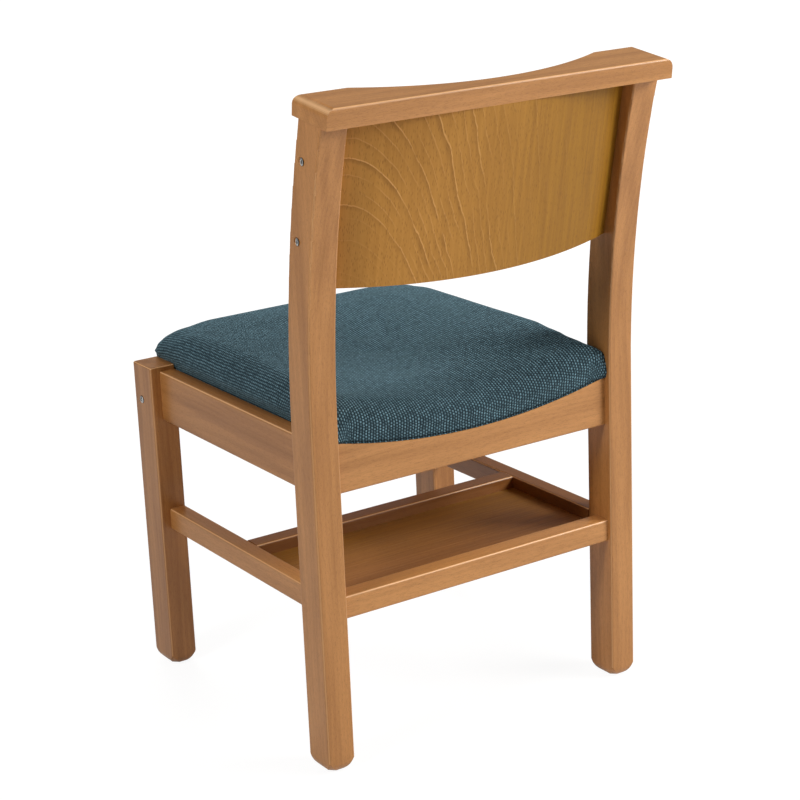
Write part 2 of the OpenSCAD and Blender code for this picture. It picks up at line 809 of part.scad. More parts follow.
module barrel_nuts() {
    color(steel) placed() both_sides() difference() {
        barrel_shape();
        bolt_shank(slack);
    }
}
module block_screws() {
    color(steel) placed() both_sides() block_screw_set();
}

module seat_screws() {
    color(steel) placed() both_sides() seat_screw_set();
}

// Staple crowns that hold the hem along the sides
module hem_staples() {
    first_y = front_rail_back_y + block_leg + staple_w;
    last_y = rear_rail_y - block_leg - staple_w;
    steps = floor((last_y - first_y) / staple_pitch);
    x = cover_x - hem_w / 2;
    color(steel) placed() both_sides() for (i = [0 : steps]) {
        y = first_y + i * (last_y - first_y) / steps;
        translate([x - staple_t, y - staple_w / 2, seat_low(x, y) - staple_t])
            cube([2 * staple_t, staple_w, staple_t]);
    }
}

front_leg(1);  // front_leg_left
front_leg(-1);  // front_leg_right
back_post(1);  // back_post_left
back_post(-1);  // back_post_right
side_rail(1);  // side_rail_left
side_rail(-1);  // side_rail_right
front_rail();
rear_rail();
corner_block(1, -1);  // corner_block_front_left
corner_block(-1, -1);  // corner_block_front_right
corner_block(1, 1);  // corner_block_rear_left
corner_block(-1, 1);  // corner_block_rear_right
side_stretcher(1);  // side_stretcher_left
side_stretcher(-1);  // side_stretcher_right
rear_stretcher();
rack_bar();
rack_bottom();
crest_rail();
back_panel();
seat_board();
seat_foam();
seat_cover();
seat_hem();
side_rail_dowels();
cross_rail_dowels();
side_stretcher_dowels();
cross_stretcher_dowels();
crest_dowels();
panel_screws();
rail_bolts();
barrel_nuts();
block_screws();
seat_screws();
hem_staples();
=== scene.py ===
# %% [markdown]
# # A choir chair, dressed for the camera
# The chair's solids are made elsewhere and come in here as a fixed frame, in metres,
# standing on the floor. This lesson gives them the look of the real chair: stained beech
# under a satin lacquer, a bent plywood back, a tight woven seat and a few small screws.
# The wooden pieces keep the place and size of their solids. The soft seat is shaped a little
# further, so that its outline follows the real one, and screw heads, bolt heads and staples
# are drawn anew at the places of theirs.

import math
import random

import bmesh
import bpy
from mathutils import Matrix, Vector
from mathutils.bvhtree import BVHTree


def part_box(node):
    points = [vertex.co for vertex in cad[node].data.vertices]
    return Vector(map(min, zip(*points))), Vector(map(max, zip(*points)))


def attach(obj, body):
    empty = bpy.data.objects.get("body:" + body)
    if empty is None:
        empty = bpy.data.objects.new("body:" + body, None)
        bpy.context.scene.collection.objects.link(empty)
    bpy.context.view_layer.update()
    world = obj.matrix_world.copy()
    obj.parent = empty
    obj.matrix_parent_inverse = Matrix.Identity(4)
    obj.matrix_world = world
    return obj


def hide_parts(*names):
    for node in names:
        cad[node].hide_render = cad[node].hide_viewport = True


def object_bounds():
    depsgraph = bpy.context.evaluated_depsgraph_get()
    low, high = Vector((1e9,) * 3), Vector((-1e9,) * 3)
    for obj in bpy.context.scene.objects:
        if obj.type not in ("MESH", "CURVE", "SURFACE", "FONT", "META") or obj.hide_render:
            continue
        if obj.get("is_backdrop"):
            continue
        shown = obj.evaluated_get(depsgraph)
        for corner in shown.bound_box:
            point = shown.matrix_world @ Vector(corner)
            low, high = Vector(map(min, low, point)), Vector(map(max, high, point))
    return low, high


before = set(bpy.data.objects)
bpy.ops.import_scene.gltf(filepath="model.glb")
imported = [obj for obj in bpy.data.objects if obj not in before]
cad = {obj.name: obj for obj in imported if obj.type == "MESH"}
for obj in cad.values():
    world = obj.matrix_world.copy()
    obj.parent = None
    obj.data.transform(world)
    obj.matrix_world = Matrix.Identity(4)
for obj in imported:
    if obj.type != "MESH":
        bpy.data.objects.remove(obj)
cad_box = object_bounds()
MM = 0.001
front_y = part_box("front_leg_left")[0].y
print("nodes:", len(cad), "box:", [round(v, 4) for v in (*cad_box[0], *cad_box[1])])

# %% [markdown]
# ## The camera
# A photograph of a straight-sided object tells where its camera stood: lines that are
# parallel on the chair run to vanishing points in the picture. The values below come from
# such a fit. They are measured from the front faces of the front legs, in millimetres.
# A long lens from three metres away keeps the perspective mild.

# %% Camera
FRAME_PX = 800
FOCAL_PX = 2104.6
CAMERA_MM = Vector((1445.0, 2497.8, 1227.5))
YAW, PITCH, ROLL = (math.radians(a) for a in (146.86, 17.43, -2.40))


def camera_turn(yaw, pitch, roll):
    """Rotation of a camera that looks at the chair from this yaw and pitch."""
    back = Vector((math.sin(yaw) * math.cos(pitch), -math.cos(yaw) * math.cos(pitch), math.sin(pitch)))
    right = Vector((math.cos(yaw), math.sin(yaw), 0))
    up = back.cross(right)
    rolled_right = right * math.cos(roll) + up * math.sin(roll)
    rolled_up = up * math.cos(roll) - right * math.sin(roll)
    return Matrix((rolled_right, rolled_up, back)).transposed()


camera = bpy.data.objects.new("camera", bpy.data.cameras.new("camera"))
bpy.context.scene.collection.objects.link(camera)
camera.data.sensor_width = 36
camera.data.lens = FOCAL_PX / FRAME_PX * camera.data.sensor_width
camera.matrix_world = (Matrix.Translation(CAMERA_MM * MM + Vector((0, front_y, 0)))
                       @ camera_turn(YAW, PITCH, ROLL).to_4x4())
bpy.context.scene.camera = camera
print("lens:", round(camera.data.lens, 1), "mm")

# %% [markdown]
# ## Floor, backdrop and light
# The picture is a catalogue cut-out on white, so the floor and the world look white to the
# camera. Near the chair the floor mixes a little real shading into that white, which keeps a
# faint shadow under the legs. Polished wood mirrors the white studio too, so glossy rays see
# a part of it.
# The light itself comes from a few softboxes. The bright rear faces and the dark inner face
# of the far post tell where they stand: two behind the chair on its right, and two narrow
# ones on its left, level with the back, where the back panel screens the far post from them.
# A fill high in front of the chair lights the tops of the front legs and side rails, and a
# low one the sides that the photograph doesn't show. Both are kept out of reflections.

# %% Stage and lamps
GLOSSY_SHARE = 0.25
AMBIENT = 0.04
FLOOR_GLOW = 1.1
FLOOR_SHARE = 0.84
FLOOR_NEAR, FLOOR_FAR = 0.8, 2.5
FLOOR_HALF = 30.0
SEAT_CENTRE = Vector((0, 0, 0.45))
KEY_COLOUR, SOFTBOX_COLOUR, FILL_COLOUR = (1, 1, 0.97), (1, 0.99, 0.97), (1, 1, 1)
KEY_SIZE, SOFTBOX_SIZE, FILL_SIZE = 1.4, 0.7, 1.6


def light_path(tree, shares):
    """Sum of the light path outputs that shares names, each times its share."""
    path = tree.nodes.new("ShaderNodeLightPath")
    total = None
    for name, share in shares.items():
        part = tree.nodes.new("ShaderNodeMath")
        part.operation = "MULTIPLY_ADD"
        part.use_clamp = True
        tree.links.new(path.outputs[name], part.inputs[0])
        if isinstance(share, (int, float)):
            part.inputs[1].default_value = share
        else:
            tree.links.new(share, part.inputs[1])
        part.inputs[2].default_value = 0
        if total:
            tree.links.new(total, part.inputs[2])
        total = part.outputs[0]
    return total


def white_world():
    world = bpy.data.worlds.new("studio")
    world.use_nodes = True
    tree = world.node_tree
    tree.nodes.clear()
    dim, white = (tree.nodes.new("ShaderNodeBackground") for _ in range(2))
    dim.inputs["Color"].default_value = (1, 0.99, 0.98, 1)
    dim.inputs["Strength"].default_value = AMBIENT
    white.inputs["Color"].default_value = (1, 1, 1, 1)
    mix = tree.nodes.new("ShaderNodeMixShader")
    out = tree.nodes.new("ShaderNodeOutputWorld")
    seen = light_path(tree, {"Is Camera Ray": 1, "Is Glossy Ray": GLOSSY_SHARE,
                             "Is Transmission Ray": GLOSSY_SHARE})
    tree.links.new(seen, mix.inputs[0])
    tree.links.new(dim.outputs[0], mix.inputs[1])
    tree.links.new(white.outputs[0], mix.inputs[2])
    tree.links.new(mix.outputs[0], out.inputs[0])
    return world


def white_floor():
    material = bpy.data.materials.new("floor")
    material.use_nodes = True
    tree = material.node_tree
    tree.nodes.clear()
    matt = tree.nodes.new("ShaderNodeBsdfDiffuse")
    matt.inputs["Color"].default_value = (0.8, 0.8, 0.8, 1)
    glow = tree.nodes.new("ShaderNodeEmission")
    glow.inputs["Strength"].default_value = FLOOR_GLOW
    mix = tree.nodes.new("ShaderNodeMixShader")
    out = tree.nodes.new("ShaderNodeOutputMaterial")
    place = tree.nodes.new("ShaderNodeTexCoord")
    distance = tree.nodes.new("ShaderNodeVectorMath")
    distance.operation = "LENGTH"
    tree.links.new(place.outputs["Object"], distance.inputs[0])
    share = tree.nodes.new("ShaderNodeMapRange")
    tree.links.new(distance.outputs["Value"], share.inputs["Value"])
    for name, value in (("From Min", FLOOR_NEAR), ("From Max", FLOOR_FAR),
                        ("To Min", FLOOR_SHARE), ("To Max", 1.0)):
        share.inputs[name].default_value = value
    seen = light_path(tree, {"Is Camera Ray": share.outputs[0], "Is Glossy Ray": GLOSSY_SHARE})
    tree.links.new(seen, mix.inputs[0])
    tree.links.new(matt.outputs[0], mix.inputs[1])
    tree.links.new(glow.outputs[0], mix.inputs[2])
    tree.links.new(mix.outputs[0], out.inputs[0])
    return material


def soft_lamp(name, place, size, power, colour):
    lamp = bpy.data.objects.new(name, bpy.data.lights.new(name, "AREA"))
    bpy.context.scene.collection.objects.link(lamp)
    lamp.data.shape = "DISK"
    lamp.data.size = size
    lamp.data.energy = power
    lamp.data.color = colour
    place = Vector(place)
    turn = (SEAT_CENTRE - place).to_track_quat("-Z", "Y")
    lamp.matrix_world = Matrix.Translation(place) @ turn.to_matrix().to_4x4()
    return lamp


bpy.context.scene.world = white_world()
bpy.context.scene.view_settings.view_transform = "Standard"
floor_mesh = bpy.data.meshes.new("floor")
floor_mesh.from_pydata([(x * FLOOR_HALF, y * FLOOR_HALF, 0) for x, y in ((-1, -1), (1, -1), (1, 1), (-1, 1))],
                       [], [(0, 1, 2, 3)])
floor = bpy.data.objects.new("floor", floor_mesh)
bpy.context.scene.collection.objects.link(floor)
floor_mesh.materials.append(white_floor())
floor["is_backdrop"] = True

soft_lamp("right key", (-2.4, 2.0, 2.2), KEY_SIZE, 78, KEY_COLOUR)
soft_lamp("rear key", (-1.7, 2.6, 1.6), KEY_SIZE, 33, KEY_COLOUR)
soft_lamp("left softbox", (2.4, 0.64, 2.4), SOFTBOX_SIZE, 28, SOFTBOX_COLOUR)
soft_lamp("low left softbox", (3.0, 0.55, 1.7), SOFTBOX_SIZE, 18, SOFTBOX_COLOUR)
for name, place, power in (("high fill", (-0.3, -1.8, 3.0), 28), ("front fill", (-0.9, -3.2, 1.2), 40)):
    soft_lamp(name, place, FILL_SIZE, power, FILL_COLOUR).visible_glossy = False

# %% [markdown]
# ## A small language for materials
# A procedural material is arithmetic on coordinates. Wiring each sum by hand hides it, so
# a Wire stands for a number inside the node tree and Python's own operators add the
# Math nodes. A Recipe holds one material, and its node() adds any other kind of node:
# settings first, then the values or wires of its sockets.

# %% Wires and recipes
class Wire:
    """A value in a material's node tree, with Python's arithmetic."""

    def __init__(self, recipe, socket):
        self.recipe = recipe
        self.socket = socket

    def math(self, operation, *values):
        return self.recipe.node("ShaderNodeMath", {"operation": operation}, values)

    def __add__(self, other):
        return self.math("ADD", self, other)

    __radd__ = __add__

    def __sub__(self, other):
        return self.math("SUBTRACT", self, other)

    def __rsub__(self, other):
        return self.math("SUBTRACT", other, self)

    def __mul__(self, other):
        return self.math("MULTIPLY", self, other)

    __rmul__ = __mul__

    def __truediv__(self, other):
        return self.math("DIVIDE", self, other)

    def __pow__(self, other):
        return self.math("POWER", self, other)

    def abs(self):
        return self.math("ABSOLUTE", self)

    def floor(self):
        return self.math("FLOOR", self)

    def fract(self):
        return self.math("FRACT", self)

    def log(self):
        return self.math("LOGARITHM", self, math.e)

    def ramp(self, low, high, out_low=0.0, out_high=1.0):
        """Runs smoothly from out_low to out_high as the value goes from low to high."""
        return self.recipe.node("ShaderNodeMapRange", {"interpolation_type": "SMOOTHSTEP"},
                                [self, low, high, out_low, out_high])


class Recipe:
    """One material and the nodes that make it."""

    def __init__(self, name):
        self.material = bpy.data.materials.new(name)
        self.material.use_nodes = True
        self.tree = self.material.node_tree
        self.shader = self.tree.nodes["Principled BSDF"]

    def node(self, kind, settings=None, inputs=(), output=0):
        made = self.tree.nodes.new(kind)
        for name, value in (settings or {}).items():
            setattr(made, name, value)
        pairs = inputs.items() if isinstance(inputs, dict) else enumerate(inputs)
        for key, value in pairs:
            self.feed(made.inputs[key], value)
        return Wire(self, made.outputs[output])

    def feed(self, socket, value):
        if isinstance(value, Wire):
            self.tree.links.new(value.socket, socket)
        else:
            socket.default_value = value

    def attribute(self, name, output=1):
        return self.node("ShaderNodeAttribute", {"attribute_name": name}, (), output)

    def split(self, vector):
        return [self.node("ShaderNodeSeparateXYZ", {}, [vector], axis) for axis in range(3)]

    def vector(self, x, y, z):
        return self.node("ShaderNodeCombineXYZ", {}, [x, y, z])

    def stretched(self, vector, x, y, z):
        return self.node("ShaderNodeVectorMath", {"operation": "MULTIPLY"}, [vector, (x, y, z)])

    def noise(self, vector, detail=2.0, roughness=0.5):
        return self.node("ShaderNodeTexNoise", {},
                         {"Vector": vector, "Scale": 1.0, "Detail": detail, "Roughness": roughness})

    def cells(self, vector):
        return self.node("ShaderNodeTexVoronoi", {}, {"Vector": vector, "Scale": 1.0})

    def mix(self, factor, first, second):
        return self.node("ShaderNodeMix", {"data_type": "RGBA"}, {0: factor, 6: first, 7: second}, 2)

    def bump(self, height, strength, distance):
        return self.node("ShaderNodeBump", {}, {"Strength": strength, "Distance": distance, "Height": height})

    def finish(self, **sockets):
        for name, value in sockets.items():
            self.feed(self.shader.inputs[name.replace("_", " ").title().replace("Ior", "IOR")], value)
        return self.material


def paint(red, green, blue):
    """A colour picked from a screen, 0 to 255, as the linear values that a shader takes."""
    def linear(v):
        v = v / 255
        return v / 12.92 if v <= 0.04045 else ((v + 0.055) / 1.055) ** 2.4
    return (linear(red), linear(green), linear(blue), 1)


# %% [markdown]
# ## Stained beech
# Beech has no strong figure. Up close it shows short brown ray flecks, like fine dashes, and
# faint growth lines; from afar only soft streaks along each member and a change of tone from
# board to board. The stain is thinner on the eased edges, so they are a little lighter, and the
# upper edges are lighter still as a painted highlight.
# Each member carries its own grain coordinates: x along the grain, y and z across
# it, in metres. One recipe then serves every member, and no pattern runs through a joint.
# The tone of each member was chosen beside the photograph, so it also carries some of its
# light. A tone under zero draws the wood on towards the fleck colour, and stands for shade.

# %% Wood
FLECK_SHARE = 0.38
FINE_SHARE = 0.22
SHADE_SHARE = 0.45
EDGE_WEAR_AND_HIGHLIGHT = 0.8


def wood(name, light, dark, fleck, contrast=1.0, sheen=0.36, ring_mm=5.5):
    r = Recipe(name)
    grain = r.attribute("grain")
    edge = r.attribute("edge", 2)
    tone = r.attribute("tone", 2)
    along, across, deep = r.split(grain)
    streaks = r.noise(r.stretched(grain, 4, 60, 60), 4, 0.5)
    sway = r.noise(r.stretched(grain, 3, 14, 14), 1)
    layers = (across * 0.8 + deep * 0.6) * (1000 / ring_mm) + sway * 5
    rings = layers.fract().ramp(0, 0.75) * layers.fract().ramp(0.92, 1, 1, 0)
    # The tone share lightens or darkens each member, partly as painted light and shade.
    mask = streaks.ramp(0.28, 0.72) * 0.46 + rings * 0.10 + tone * 0.44
    flecks = r.cells(r.stretched(grain, 190, 1100, 1100)).ramp(0.10, 0.30, 1, 0)
    fine = r.noise(r.stretched(grain, 120, 900, 900), 2)
    ground = r.mix(mask, dark, light)
    # Painted shade: a tone below zero darkens the wood towards the fleck colour.
    ground = r.mix(tone.ramp(-0.8, 0, SHADE_SHARE, 0), ground, fleck)
    ground = r.mix(flecks * (FLECK_SHARE * contrast), ground, fleck)
    ground = r.mix(fine.ramp(0.45, 0.75) * FINE_SHARE, ground, fleck)
    # Eased edges are lighter: thinner stain, and a painted highlight on the upper ones.
    ground = r.mix(edge * EDGE_WEAR_AND_HIGHLIGHT, ground, paint(252, 200, 146))
    height = fine * 0.5 - flecks * 0.6 + streaks * 0.3
    return r.finish(base_color=ground, roughness=sheen + fine * 0.12, normal=r.bump(height, 0.18, 0.0002),
                    coat_weight=0.2, coat_roughness=0.2, specular_ior_level=0.4)


frame_wood = wood("stained beech", paint(200, 140, 80), paint(148, 94, 42), paint(104, 58, 22))
inside_wood = wood("plain wood", paint(222, 190, 146), paint(196, 158, 112), paint(160, 118, 78), 0.8, 0.55)

# %% [markdown]
# ## The bent plywood
# The back panel's outer veneer is cut flat from the log, so the growth rings meet it at a low
# angle and draw nested arches. On the real panel the arches have their middle at its left
# edge, next to the post, and widen like parabolas; they stand closer together towards
# the foot, each by the same share of the one before, so the ring number is a logarithm. Each
# ring ends in a thin pale line with a soft dark groove beside it. Both have a fixed width in
# millimetres, so the recipe needs the width of a ring too. The right half of the panel is
# nearly plain and more golden. The edge of the panel shows the plies, light and dark.

# %% Plywood
LINE_MM = 1.3
PLY_MM = 1.5
GOLDEN_RIGHT_MM, GOLDEN_LEFT_MM = -160, 120
GOLDEN_SHARE = 0.8
ARCH_MIDDLE_MM = 204
ARCH_FALL = 0.0105
RING_GROWTH = 0.27
RING_START_MM = 106
FIRST_ARCH_MM = 150
LAST_ARCH_MM = 600


def veneer(name, light, dark, line, figure, line_share):
    """figure gives a place's ring number, the ring's width in mm and how strongly it shows."""
    r = Recipe(name)
    grain = r.attribute("grain")
    rim = r.attribute("rim", 2)
    up, across, deep = r.split(grain)
    turn, pitch, presence = figure(r, grain, up * 1000, across * 1000)
    streaks = r.noise(r.stretched(grain, 5, 160, 160), 5, 0.65)
    blotch = r.noise(r.stretched(grain, 7, 12, 12), 2)
    flecks = r.cells(r.stretched(grain, 110, 700, 700)).ramp(0.10, 0.34, 1, 0)
    ground = r.mix(streaks.ramp(0.3, 0.7) * 0.4 + blotch * 0.6, dark, light)
    height = streaks * 0.4 - flecks * 0.4
    for per_ring, share in ((1, 1.0), (3, 0.45)):
        phase = (turn * per_ring).fract()
        ring = (turn * per_ring).floor()
        gap = (1 - phase) * pitch / per_ring
        strength = r.noise(r.vector(ring * 3.7, up * 22, across * 9), 2).ramp(0.36, 0.60) * presence * share
        pale = gap.ramp(0.1, 0.6) * gap.ramp(LINE_MM, LINE_MM + 0.7, 1, 0) * strength
        beside = gap.ramp(LINE_MM + 0.2, LINE_MM + 0.8)
        groove = beside * gap.ramp(LINE_MM + 1.4, LINE_MM + 7, 1, 0) * strength
        ground = r.mix(groove * (line_share * 0.6), ground, paint(112, 68, 26))
        ground = r.mix(pale * line_share, ground, line)
        height = height + pale * 0.7 - groove * 0.5
    golden = (across * 1000).ramp(GOLDEN_RIGHT_MM, GOLDEN_LEFT_MM, 1, 0)
    gold = r.mix(streaks.ramp(0.3, 0.7), paint(125, 83, 2), paint(145, 100, 8))
    ground = r.mix(golden * GOLDEN_SHARE, ground, gold)
    ground = r.mix(flecks * 0.5, ground, paint(104, 62, 22))
    ply = (deep * (1000 / PLY_MM)).fract().ramp(0.35, 0.65)
    plies = r.mix(ply, paint(148, 96, 50), paint(214, 160, 100))
    ground = r.mix(rim, ground, plies)
    return r.finish(base_color=ground, roughness=0.42 + streaks * 0.12, normal=r.bump(height, 0.2, 0.0002),
                    coat_weight=0.05, coat_roughness=0.3, specular_ior_level=0.2)


def arches(r, grain, up, across):
    wander = r.noise(r.stretched(grain, 11, 22, 22), 4, 0.6)
    side = across - ARCH_MIDDLE_MM + (wander - 0.5) * 24
    climb = up + side * side * ARCH_FALL + (wander - 0.5) * 18 + 70
    slope = (side * side * (4 * ARCH_FALL * ARCH_FALL) + 1) ** 0.5
    presence = climb.ramp(LAST_ARCH_MM, LAST_ARCH_MM + 60, 1, 0.5)
    presence = presence * climb.ramp(FIRST_ARCH_MM, FIRST_ARCH_MM + 60, 0.25, 1)
    return (climb / RING_START_MM).log() / RING_GROWTH, climb * RING_GROWTH / slope, presence


def straight_lines(r, grain, up, across):
    wander = r.noise(r.stretched(grain, 3, 16, 16), 3, 0.55)
    return (across + wander * 22) / 21, 21, 0.7


panel_veneer = veneer("back veneer", paint(200, 143, 68), paint(168, 115, 48), paint(226, 172, 106),
                      arches, 0.5)
rack_veneer = veneer("rack veneer", paint(170, 116, 72), paint(128, 82, 46), paint(196, 144, 100),
                     straight_lines, 0.4)


# %% [markdown]
# ## Wooden members
# The solids already have the right shape and their long edges are eased. As imported they are
# loose triangles, so each visible member is a copy with the triangles joined and the flat
# faces made whole. Only the tops of the front legs are still sharp, so they get a narrow
# bevel, and weighted normals keep the wide faces flat beside the rounded edges.

# %% Copies of the solids
MERGE_DISTANCE = 1e-6
FLAT_DEGREES = 0.4
SHARP_DEGREES = 32


def joined_copy(node):
    """A mesh like the node's, as closed faces in place of loose triangles."""
    bm = bmesh.new()
    bm.from_mesh(cad[node].data)
    bmesh.ops.remove_doubles(bm, verts=bm.verts, dist=MERGE_DISTANCE)
    bmesh.ops.dissolve_limit(bm, angle_limit=math.radians(FLAT_DEGREES), verts=bm.verts, edges=bm.edges)
    for face in bm.faces:
        face.smooth = True
    for edge in bm.edges:
        edge.smooth = len(edge.link_faces) == 2 and edge.calc_face_angle(0) < math.radians(SHARP_DEGREES)
    mesh = bpy.data.meshes.new(node)
    bm.to_mesh(mesh)
    bm.free()
    return mesh


def baked(obj):
    """Replaces the object's mesh by what its modifiers make of it."""
    result = bpy.data.meshes.new_from_object(obj.evaluated_get(bpy.context.evaluated_depsgraph_get()))
    obj.modifiers.clear()
    obj.data = result
    return obj


def new_object(name, mesh):
    obj = bpy.data.objects.new(name, mesh)
    bpy.context.scene.collection.objects.link(obj)
    return obj


def ease_top(mesh, width_mm):
    """Bevels the edges round a member's highest face."""
    bm = bmesh.new()
    bm.from_mesh(mesh)
    top = max(v.co.z for v in bm.verts) - 0.01 * MM
    edges = [e for e in bm.edges if min(v.co.z for v in e.verts) > top
             and min(abs(f.normal.z) for f in e.link_faces) < 0.5]
    bmesh.ops.bevel(bm, geom=edges, offset=width_mm * MM, segments=3, affect="EDGES", profile=0.5,
                    clamp_overlap=True)
    for face in bm.faces:
        face.smooth = True
    bm.to_mesh(mesh)
    bm.free()


def softened(name, node, top_mm=0):
    obj = new_object(name, joined_copy(node))
    if top_mm:
        ease_top(obj.data, top_mm)
    normals = obj.modifiers.new("normals", "WEIGHTED_NORMAL")
    normals.keep_sharp = True
    return baked(obj)


def write_attribute(mesh, name, kind, domain, values):
    layer = mesh.attributes.new(name, kind, domain)
    flat = [c for v in values for c in v] if kind == "FLOAT_VECTOR" else values
    layer.data.foreach_set("vector" if kind == "FLOAT_VECTOR" else "value", flat)


def grain_from(axis, middle, shift):
    """Grain coordinates of a straight member: the named axis first, then the other two."""
    order = {"x": (0, 1, 2), "y": (1, 0, 2), "z": (2, 0, 1)}[axis]

    def place(point):
        local = point - middle
        return [local[i] + s for i, s in zip(order, shift)]
    return place


def edge_wear_and_highlight_share(normal):
    """0 on a face that is square to the chair, 1 on the middle of an eased upper edge, as thin stain and
    painted highlight.
    """
    slope = (1 - max(abs(c) for c in normal) - 0.06) / 0.19
    # Painted highlight: upper edges take all of it, side edges 0.4 and lower edges none.
    share = 1.0 if normal.z > 0.2 else 0.4 if normal.z > -0.2 else 0.0
    return min(1.0, max(0.0, slope)) * share


dice = random.Random(7)


def dress(obj, node, material, grain, tone):
    """Gives a wooden piece its grain, its finish and its place in the frame."""
    mesh = obj.data
    write_attribute(mesh, "grain", "FLOAT_VECTOR", "POINT", [grain(v.co) for v in mesh.vertices])
    write_attribute(mesh, "edge", "FLOAT", "FACE", [edge_wear_and_highlight_share(p.normal) for p in mesh.polygons])
    write_attribute(mesh, "tone", "FLOAT", "FACE", [tone] * len(mesh.polygons))
    mesh.materials.clear()
    mesh.materials.append(material)
    mesh.polygons.foreach_set("material_index", [0] * len(mesh.polygons))
    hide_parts(node)
    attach(obj, "root")
    return obj


def member(node, axis, material, tone, top_mm=0):
    low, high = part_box(node)
    shift = [dice.uniform(0, 9) for _ in range(3)]
    obj = softened(node.replace("_", "-"), node, top_mm)
    return dress(obj, node, material, grain_from(axis, (low + high) / 2, shift), tone)


LEG_TOP_MM = 2.0
# These tones hold painted light and shade besides the wood's own tone: DARK is painted shade on the right
# stretcher and the rack bar, and the rear stretcher's 1.5 * PALE is painted light.
PALE, MIDDLING, DEEP, DARK = 1.0, 0.7, 0.05, -0.6
for side, stretcher_tone in (("left", MIDDLING), ("right", DARK)):
    member(f"front_leg_{side}", "z", frame_wood, DEEP, LEG_TOP_MM)
    member(f"back_post_{side}", "z", frame_wood, MIDDLING)
    member(f"side_rail_{side}", "y", frame_wood, DEEP)
    member(f"side_stretcher_{side}", "y", frame_wood, stretcher_tone)
    for end in ("front", "rear"):
        member(f"corner_block_{end}_{side}", "x", inside_wood, MIDDLING)
member("rack_bar", "x", frame_wood, DARK)
for node, tone in (("front_rail", MIDDLING), ("rear_rail", PALE), ("rear_stretcher", 1.5 * PALE),
                   ("crest_rail", PALE)):
    member(node, "x", frame_wood, tone)

# %% [markdown]
# ## Plywood pieces
# The back panel is bent round an upright axis, so its grain coordinates follow the bend: up
# the panel, round the arc, and through the thickness. The rack's bottom is flat. On both, the
# faces that show the plies are marked, and the recipe paints the layers there.

# %% Panel and rack bottom
def bend_axis():
    """Centre of the back panel's bend, from three points of its rear face."""
    low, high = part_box("back_panel")
    verts = [v.co for v in cad["back_panel"].data.vertices]
    floor_line = [v for v in verts if v.z < low.z + 0.012]
    corner = max(floor_line, key=lambda v: v.x)
    middle = max((v for v in floor_line if abs(v.x) < 0.03), key=lambda v: v.y)
    half, sag = high.x, middle.y - max(v.y for v in floor_line if v.x > high.x - 0.001)
    radius = (half * half + sag * sag) / (2 * sag)
    return Vector((0, middle.y - radius, corner.z)), radius


def panel_grain():
    centre, radius = bend_axis()
    low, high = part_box("back_panel")
    top = [v.co.y for v in cad["back_panel"].data.vertices if v.co.z > high.z - 0.02]
    bottom = [v.co.y for v in cad["back_panel"].data.vertices if v.co.z < low.z + 0.02]
    lean_depth = max(top) - max(bottom)

    def place(point):
        lean = (point.z - low.z) / (high.z - low.z)
        offset = Vector((point.x, point.y - centre.y - lean * lean_depth))
        around = math.atan2(offset.x, offset.y) * radius
        return (point.z - low.z, around, radius - offset.length)
    return place


def mark_rims(obj, test):
    write_attribute(obj.data, "rim", "FLOAT", "FACE", [1.0 if test(p) else 0.0 for p in obj.data.polygons])


back_panel = softened("back-panel", "back_panel")
mark_rims(back_panel, lambda p: abs(p.normal.z) > 0.8)
dress(back_panel, "back_panel", panel_veneer, panel_grain(), 0.5)
rack_low, rack_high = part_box("rack_bottom")
rack_bottom = softened("rack-bottom", "rack_bottom")
mark_rims(rack_bottom, lambda p: abs(p.normal.z) < 0.5)
dress(rack_bottom, "rack_bottom", rack_veneer,
      grain_from("x", (rack_low + rack_high) / 2, (0, 0, 0)), 0.5)

# %% [markdown]
# ## Steel and hidden pieces
# The dowels, blocks, nuts and screws inside the joints keep their solids and take a finish.
# Zinc-plated steel is a grey metal with fine brushed streaks and a soft gloss.

# %% Finishes for what stays as it is
def zinc(name, roughness):
    r = Recipe(name)
    place = r.node("ShaderNodeTexCoord", {}, (), 3)
    cloud = r.noise(r.stretched(place, 900, 900, 900), 3)
    streak = r.noise(r.stretched(place, 400, 4000, 4000), 2)
    colour = r.mix(cloud, paint(176, 178, 180), paint(226, 226, 222))
    # Painted shade: dark where the shade attribute marks a head's cross recess and rim.
    colour = r.mix(r.attribute("shade", 2), colour, paint(46, 38, 32))
    return r.finish(base_color=colour, metallic=1.0, roughness=roughness + streak * 0.18,
                    normal=r.bump(streak, 0.15, 0.0001))


steel = zinc("zinc plated steel", 0.26)


def finish_node(node, material):
    mesh = cad[node].data
    mesh.materials.clear()
    mesh.materials.append(material)


def plain_wood(name):
    """Light wood for pieces that keep their solids, on object coordinates."""
    r = Recipe(name)
    place = r.node("ShaderNodeTexCoord", {}, (), 3)
    streaks = r.noise(r.stretched(place, 30, 30, 30), 4, 0.6)
    fine = r.noise(r.stretched(place, 600, 600, 600), 2)
    colour = r.mix(streaks.ramp(0.3, 0.7), paint(198, 160, 114), paint(224, 192, 148))
    colour = r.mix(fine.ramp(0.5, 0.8) * 0.3, colour, paint(160, 118, 78))
    return r.finish(base_color=colour, roughness=0.6, normal=r.bump(fine, 0.2, 0.0002))


board_wood = plain_wood("seat board wood")
for node in ("seat_board", "side_rail_dowels", "cross_rail_dowels", "side_stretcher_dowels",
             "cross_stretcher_dowels", "crest_dowels"):
    finish_node(node, board_wood)
for node in ("barrel_nuts", "block_screws", "seat_screws"):
    finish_node(node, steel)

# %% [markdown]
# ## The woven seat cover
# The cloth is a coarse ribbed weave in grey-teal. Its ribs run from front to back, about four
# millimetres apart, and each rib is a row of beads where it crosses the other yarn, staggered
# from rib to rib. Dark gaps show between the beads, and now and then a bead catches more
# light. The cloth is pulled over the seat's edges, so its pattern follows the surface: it is
# written on the mesh as a cloth attribute in metres.

